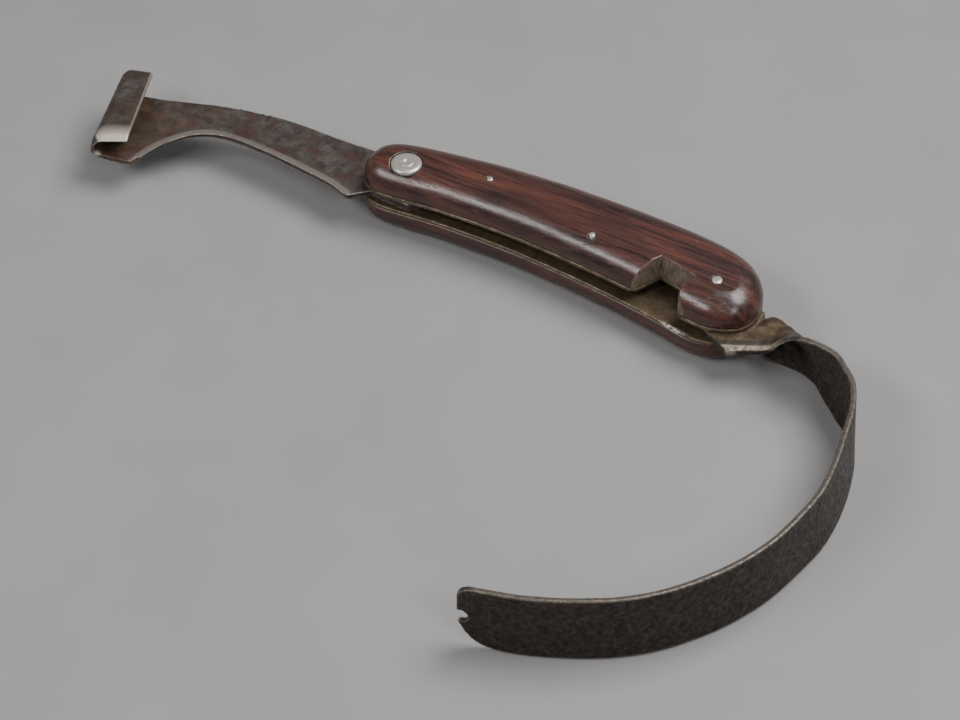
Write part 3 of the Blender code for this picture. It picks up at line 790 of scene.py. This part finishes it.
def cutter_channel():
    """The U-shaped cutter as rings of its section, the top of its near end ground to an edge."""
    along = (CUTTER_FAR - CUTTER_NEAR).normalized()
    across = Vector((along.y, -along.x, 0.0))
    length = (CUTTER_FAR - CUTTER_NEAR).length
    outer = CUTTER_HEIGHT / 2
    centre = (outer - CUTTER_BULGE, BLADE_LOW + outer)
    rings = []
    ground_at = ((0.0, CUTTER_WALL - HONED_EDGE), (HONED_LENGTH / length, 0.0), (0.5, 0.0), (1.0, 0.0))
    for station, ground in ground_at:
        outside = arc(outer, 90, 270, 24, centre)
        for point in outside:
            if point.y > centre[1]:
                away = (point - Vector(centre)) / outer
                point -= away * ground * min(1.0, away.y * 2.0)
        inside = arc(outer - CUTTER_WALL, 270, 90, 24, centre)
        width = FLANGE_NEAR + (FLANGE_FAR - FLANGE_NEAR) * station
        under = FLANGE_NEAR + (FOOT_FAR - FLANGE_NEAR) * station
        foot = [Vector((under, BLADE_LOW)), Vector((under, BLADE_LOW + CUTTER_WALL))]
        high = BLADE_LOW + CUTTER_HEIGHT
        flange = [Vector((width, high - CUTTER_WALL)), Vector((width, high - ground))]
        start = CUTTER_NEAR.lerp(CUTTER_FAR, station)
        ring = []
        for point in outside + foot + inside + flange:
            slant = along * point.x * CUTTER_MOUTH_SLANT * (1.0 - station)
            slant += along * min(point.x, 0.0) * CUTTER_FAR_SLANT * station
            ring.append(start + across * point.x + slant + Vector((0, 0, point.y)))
        rings.append(ring)
    return rings


def blade_plate():
    """The plate's rings: both faces and the chamfers, wide along the edge and narrow elsewhere."""
    edge = [Vector(BLADE_HEEL)] + smooth_path(BLADE_EDGE, 9, closed=False)
    spine = smooth_path(BLADE_SPINE, 8, closed=False)
    mouth = [Vector((-76.3, -28.0)), Vector((-79.4, -28.4)), Vector((-84.5, -9.0))]
    outline = edge + mouth + spine + arc(TANG_ROUND, 90, -60, 30)
    chamfer = [EDGE_CHAMFER if index < len(edge) - 4 else SPINE_CHAMFER for index in range(len(outline))]
    low = [min(width, SPINE_CHAMFER) for width in chamfer]
    rings = [at_height(inset(outline, low), BLADE_LOW), at_height(outline, BLADE_LOW + SPINE_CHAMFER)]
    rings.append([Vector((p.x, p.y, BLADE_HIGH - depth)) for p, depth in zip(outline, chamfer)])
    rings.append(at_height(inset(outline, chamfer), BLADE_HIGH))
    for ring in rings:
        for point in ring:
            if point.z > MID_Z:
                along = (point.x - BLADE_THIN_FROM) / (BLADE_THIN_TO - BLADE_THIN_FROM)
                point.z -= (BLADE_HIGH - BLADE_LOW - CUTTER_PLATE_TOP) * min(max(along, 0.0), 1.0)
    return rings


def mark_blade(obj):
    """Rust in the channel and at the neck, the bright honed end with a painted glint on its lower outer wall,
    and the ground facet of the edge.
    """
    points, normals = vertex_arrays(obj.data)
    offset = np.array((BLADE_PIVOT.x, BLADE_PIVOT.y, 0.0))
    near = np.array(CUTTER_NEAR) + offset
    along = np.array((CUTTER_FAR - CUTTER_NEAR).normalized())
    across = np.array((along[1], -along[0], 0.0))
    local = points - near
    down = local @ along
    out = local @ across
    height = points[:, 2] - BLADE_LOW
    inner_radius = CUTTER_HEIGHT / 2 - CUTTER_WALL
    centre_x = CUTTER_HEIGHT / 2 - CUTTER_BULGE
    to_axis = np.hypot(np.minimum(out - centre_x, 0.0), height - CUTTER_HEIGHT / 2)
    inside = np.clip((inner_radius + 0.35 - to_axis) / 0.3, 0.0, 1.0) * (out < 9.0) * (out > -3.0)
    neck = np.exp(-((points[:, 0] - NECK_RUST_X) / NECK_RUST_REACH) ** 2) * 0.55
    away = np.linalg.norm(local[:, :2] - np.array(PLATE_RUST_CENTRE), axis=1)
    plate = np.clip((PLATE_RUST_RADIUS - away) / 8.0, 0.0, 1.0)
    carry(obj.data, "rust", np.maximum(np.maximum(inside * (down > -3.0), neck), plate * 0.7))
    slanted = down - out * CUTTER_MOUTH_SLANT
    top = np.clip((height - CUTTER_HEIGHT + 1.1) / 0.3, 0.0, 1.0) * (points[:, 0] < CUTTER_WEAR_FROM_X)
    honed_and_glint = top * np.clip((6.4 - slanted) / 5.0, 0.0, 1.0) * np.clip(normals[:, 2] * 2, 0.0, 1.0)
    # A painted glint: a bright spot on the near end of the channel's lower outer wall.
    painted_glint = np.clip(1.0 - np.hypot(out + 0.4, height - 1.6) / 1.2, 0.0, 1.0)
    painted_glint *= np.clip(1.6 - slanted, 0.0, 1.0)
    side = np.clip((out - FLANGE_NEAR + 0.35 + 0.045 * down) / 0.3, 0.0, 1.0) * top * 0.3
    carry(obj.data, "honed_and_glint", np.maximum(np.maximum(honed_and_glint, painted_glint), side))
    edge = [point + BLADE_PIVOT for point in smooth_path(BLADE_EDGE, 3, closed=False)]
    facet = np.clip(near_outline(points, edge, 1.3) * 2.0, 0.0, 1.0)
    facet *= np.clip(normals[:, 2] * 2, 0.0, 1.0)
    carry(obj.data, "facet", facet * 0.5)


def make_blade():
    obj = loft("forged_blade", moved(blade_plate(), BLADE_PIVOT))
    combine(obj, loft("channel", moved(cutter_channel(), BLADE_PIVOT)), "UNION")
    bore(obj, PIVOT_PIN_RADIUS + 0.1, BLADE_PIVOT)
    worn_solid(obj, 0.24, 4)
    roughen(obj, ((7.0, 0.025, 1.3), (1.6, 0.006, 5.9)))
    mark_edges(obj, 0.6, 2)
    mark_blade(obj)
    finish_piece(obj, blade_steel(), "blade", ["scribe_blade"], 60.0)


# The guard.


def strip_section(rim, knee, foot, tangent, thick):
    """One section of the strip: a bar that arches from its rim over its knee to its foot."""
    ease = 0.3
    share = 0.125 + 0.375 * (1 - TWIST_FOLD)
    corner = (knee - share * (rim + foot)) / (1 - 2 * share)
    first = rim.lerp(corner, TWIST_FOLD)
    second = foot.lerp(corner, TWIST_FOLD)
    near_side = []
    far_side = []
    for step in range(SECTION_STEPS + 1):
        t = step / SECTION_STEPS
        u = 1 - t
        point = rim * u**3 + first * 3 * u * u * t + second * 3 * u * t * t + foot * t**3
        along = (first - rim) * u * u + (second - first) * 2 * u * t + (foot - second) * t * t
        along.normalize()
        face = tangent.cross(along).normalized() * thick / 2
        inward = {0: along * ease, SECTION_STEPS: -along * ease}.get(step, Vector((0, 0, 0)))
        near_side.append(point + inward - face)
        far_side.append(point + inward + face)
        if step in (0, SECTION_STEPS):
            eased = 1 - 2 * ease / thick
            end = 0 if step == 0 else len(near_side)
            near_side.insert(end, point - face * eased)
            far_side.insert(end, point + face * eased)
    return near_side + list(reversed(far_side))


def bow_edges():
    """The rim and the foot of the bow. The foot stands outside of the rim by the lean."""
    top = STRIP_FOOT + STRIP_WIDTH
    rims = [Vector((x, y, top)) for x, y, lean in BOW]
    feet = []
    for index, (x, y, lean) in enumerate(BOW):
        along = rims[min(index + 1, len(BOW) - 1)] - rims[max(index - 1, 0)]
        outward = Vector((-along.y, along.x, 0.0)).normalized()
        feet.append(Vector((x, y, STRIP_FOOT)) + outward * lean)
    return rims, feet


def guard_strip():
    """The strip's sections, from inside the tang round the bow and past the tip."""
    rims, feet = bow_edges()
    knees = [(rim + foot) / 2 for rim, foot in zip(rims, feet)]
    rim_path = smooth_path(TWIST_RIM + rims, STRIP_STEPS, closed=False)
    knee_path = smooth_path(TWIST_KNEE + knees, STRIP_STEPS, closed=False)
    foot_path = smooth_path(TWIST_FOOT + feet, STRIP_STEPS, closed=False)
    last = len(knee_path) - 1
    thick_from = TANG_THICK - 0.2
    thinning = STRIP_STEPS * len(TWIST_RIM)
    rings = []
    for index, (rim, knee, foot) in enumerate(zip(rim_path, knee_path, foot_path)):
        tangent = knee_path[min(index + 1, last)] - knee_path[max(index - 1, 0)]
        share = min(index / thinning, 1.0)
        rings.append(strip_section(rim, knee, foot, tangent, thick_from + (STRIP_THICK - thick_from) * share))
    return rings


def tip_profile():
    """What is cut off the strip's end, as distance along the strip and height."""
    top = STRIP_FOOT + STRIP_WIDTH
    corner = []
    for step in range(9):
        turn = math.pi / 16 * step
        corner.append(Vector((4.6 - 4.6 * math.sin(turn), top - 3.2 + 3.2 * math.cos(turn))))
    slot = arc(TIP_SLOT_RADIUS, 118, -118, 28, (TIP_SLOT_DEPTH, MID_Z + 0.1))
    toe = smooth_path(((0.3, 8.2), (2.2, 4.8), (5.2, 1.9), (9.0, 0.8), (14.0, 0.2)), 4, False)
    outside = [Vector(point) for point in ((14.0, -4.0), (-12.0, -4.0), (-12.0, 26.0), (4.6, 26.0))]
    return corner + slot + toe + outside


def mark_guard(obj):
    """Bare metal on the rim and the tang's lip and corner, and a band of painted shade along its brown top.
    """
    points, normals = vertex_arrays(obj.data)
    local = points[:, :2] - np.array(GUARD_PIVOT)
    rim = np.clip((points[:, 2] - RIM_WORN_FROM) / 0.4, 0.0, 1.0) * np.clip(normals[:, 2] * 1.5, 0.0, 1.0)
    upward = np.clip(normals[:, 2] * 1.6, 0.0, 1.0)
    flat = np.clip((25.0 - local[:, 0]) / 7.0, 0.0, 1.0)
    flat *= np.clip((points[:, 2] - TANG_WEAR_FROM) / 1.2, 0.0, 1.0)
    flat *= local[:, 1] > -20.0
    carry(obj.data, "tang", flat * upward)
    from_side = local @ np.array(TANG_SIDE_NORMAL) - TANG_SIDE_DISTANCE
    # Painted shade: a dark band just inside the tang's near edge.
    band = np.clip(1.0 - np.abs(from_side + 1.4) / 1.1, 0.0, 1.0) * flat * upward
    carry(obj.data, "painted_shade_band", band * 0.8)
    lip = np.clip((from_side + 0.3) / 0.3, 0.0, 1.0) * flat
    lip *= np.clip((points[:, 2] - LIP_WORN_FROM) / 0.3, 0.0, 1.0)
    away = np.linalg.norm(local - np.array(TANG_CORNER), axis=1)
    corner = np.clip(1.4 - away / 1.4, 0.0, 1.0) * flat
    carry(obj.data, "rubbed", np.maximum(np.maximum(rim * 0.1, lip * 0.5), corner * 0.6))


def make_guard():
    tang_end = list(reversed(arc(GUARD_TANG_ROUND, 75, 245, 36)))
    outline = [Vector(point) for point in GUARD_TANG] + tang_end
    outline = list(reversed(outline))
    low = MID_Z - TANG_THICK / 2
    obj = loft("strip_guard", moved(eased_plate(outline, low, low + TANG_THICK, 0.2), GUARD_PIVOT))
    combine(obj, loft("strip", moved(guard_strip(), GUARD_PIVOT)), "UNION")
    face = Vector((TIP_INWARD.y, -TIP_INWARD.x, 0.0))
    rings = []
    for side in (-6.0, 6.0):
        start = TIP + face * side
        rings.append([start + TIP_INWARD * point.x + Vector((0, 0, point.y)) for point in tip_profile()])
    combine(obj, loft("tip_cut", moved(rings, GUARD_PIVOT)), "DIFFERENCE")
    bore(obj, GUARD_PIN_RADIUS + 0.1, GUARD_PIVOT)
    worn_solid(obj, 0.3, 2)
    roughen(obj, ((7.0, 0.07, 2.2), (1.5, 0.026, 8.4), (0.8, 0.014, 4.4)))
    mark_edges(obj, 0.6, 2)
    mark_guard(obj)
    finish_piece(obj, guard_steel(), "guard", ["hand_guard"], 60.0)


# The stage.


def make_floor():
    bm = bmesh.new()
    bmesh.ops.create_grid(bm, x_segments=4, y_segments=4, size=1.5)
    mesh = bpy.data.meshes.new("floor")
    bm.to_mesh(mesh)
    bm.free()
    floor = link("floor", mesh)
    floor.location.z = -0.00015
    s = Shading("floor_matte", 0.0, 0.3)
    shade = s.ramp(s.noise(60.0, detail=3.0), ((0.3, (0.245, 0.242, 0.244)), (0.7, (0.270, 0.267, 0.266))))
    s.surface(shade, s.span(s.noise(30.0), 0.3, 0.7, 0.55, 0.65), s.bump(s.noise(0.8), 0.01))
    mesh.materials.append(s.material)


def area_light(name, place, target, size, power, colour):
    light = bpy.data.lights.new(name, "AREA")
    light.shape = "RECTANGLE"
    light.size, light.size_y = size
    light.energy = power
    light.color = colour
    obj = link(name, light)
    obj.location = place
    aim = Vector(target) - Vector(place)
    obj.rotation_euler = aim.to_track_quat("-Z", "Y").to_euler()


def make_lights():
    middle = (0.0, -0.04, 0.0)
    area_light("overhead_softbox", (0.28, 0.24, 0.72), middle, (0.55, 0.45), 8.0, (1.0, 0.99, 0.975))
    area_light("left_softbox", (-0.30, -0.52, 0.60), middle, (0.55, 0.17), 3.8, (1.0, 0.985, 0.97))
    area_light("right_softbox", (0.50, -0.36, 0.54), middle, (0.16, 0.16), 1.2, (1.0, 0.985, 0.97))
    world = bpy.data.worlds.new("studio")
    world.use_nodes = True
    world.node_tree.nodes["Background"].inputs["Color"].default_value = (0.80, 0.80, 0.82, 1.0)
    world.node_tree.nodes["Background"].inputs["Strength"].default_value = 0.28
    bpy.context.scene.world = world


def make_camera():
    """Looks down from the belly side and a little from the blade's end."""
    view = Vector((-0.3536, 0.6194, -0.7009)).normalized()
    right = view.cross(Vector((0.0, 0.0, 1.0))).normalized()
    up = right.cross(view)
    target = Vector((-0.002229, -0.037331, 0.0))
    data = bpy.data.cameras.new("camera")
    data.sensor_width = 36.0
    data.lens = 112.5
    data.clip_start = 0.05
    camera = link("camera", data)
    place = target - view * 0.77205
    camera.matrix_world = Matrix.Translation(place) @ Matrix((right, up, -view)).transposed().to_4x4()
    bpy.context.scene.camera = camera


make_camera()
make_floor()
make_lights()
make_handle()
make_spring()
make_pins()
make_blade()
make_guard()
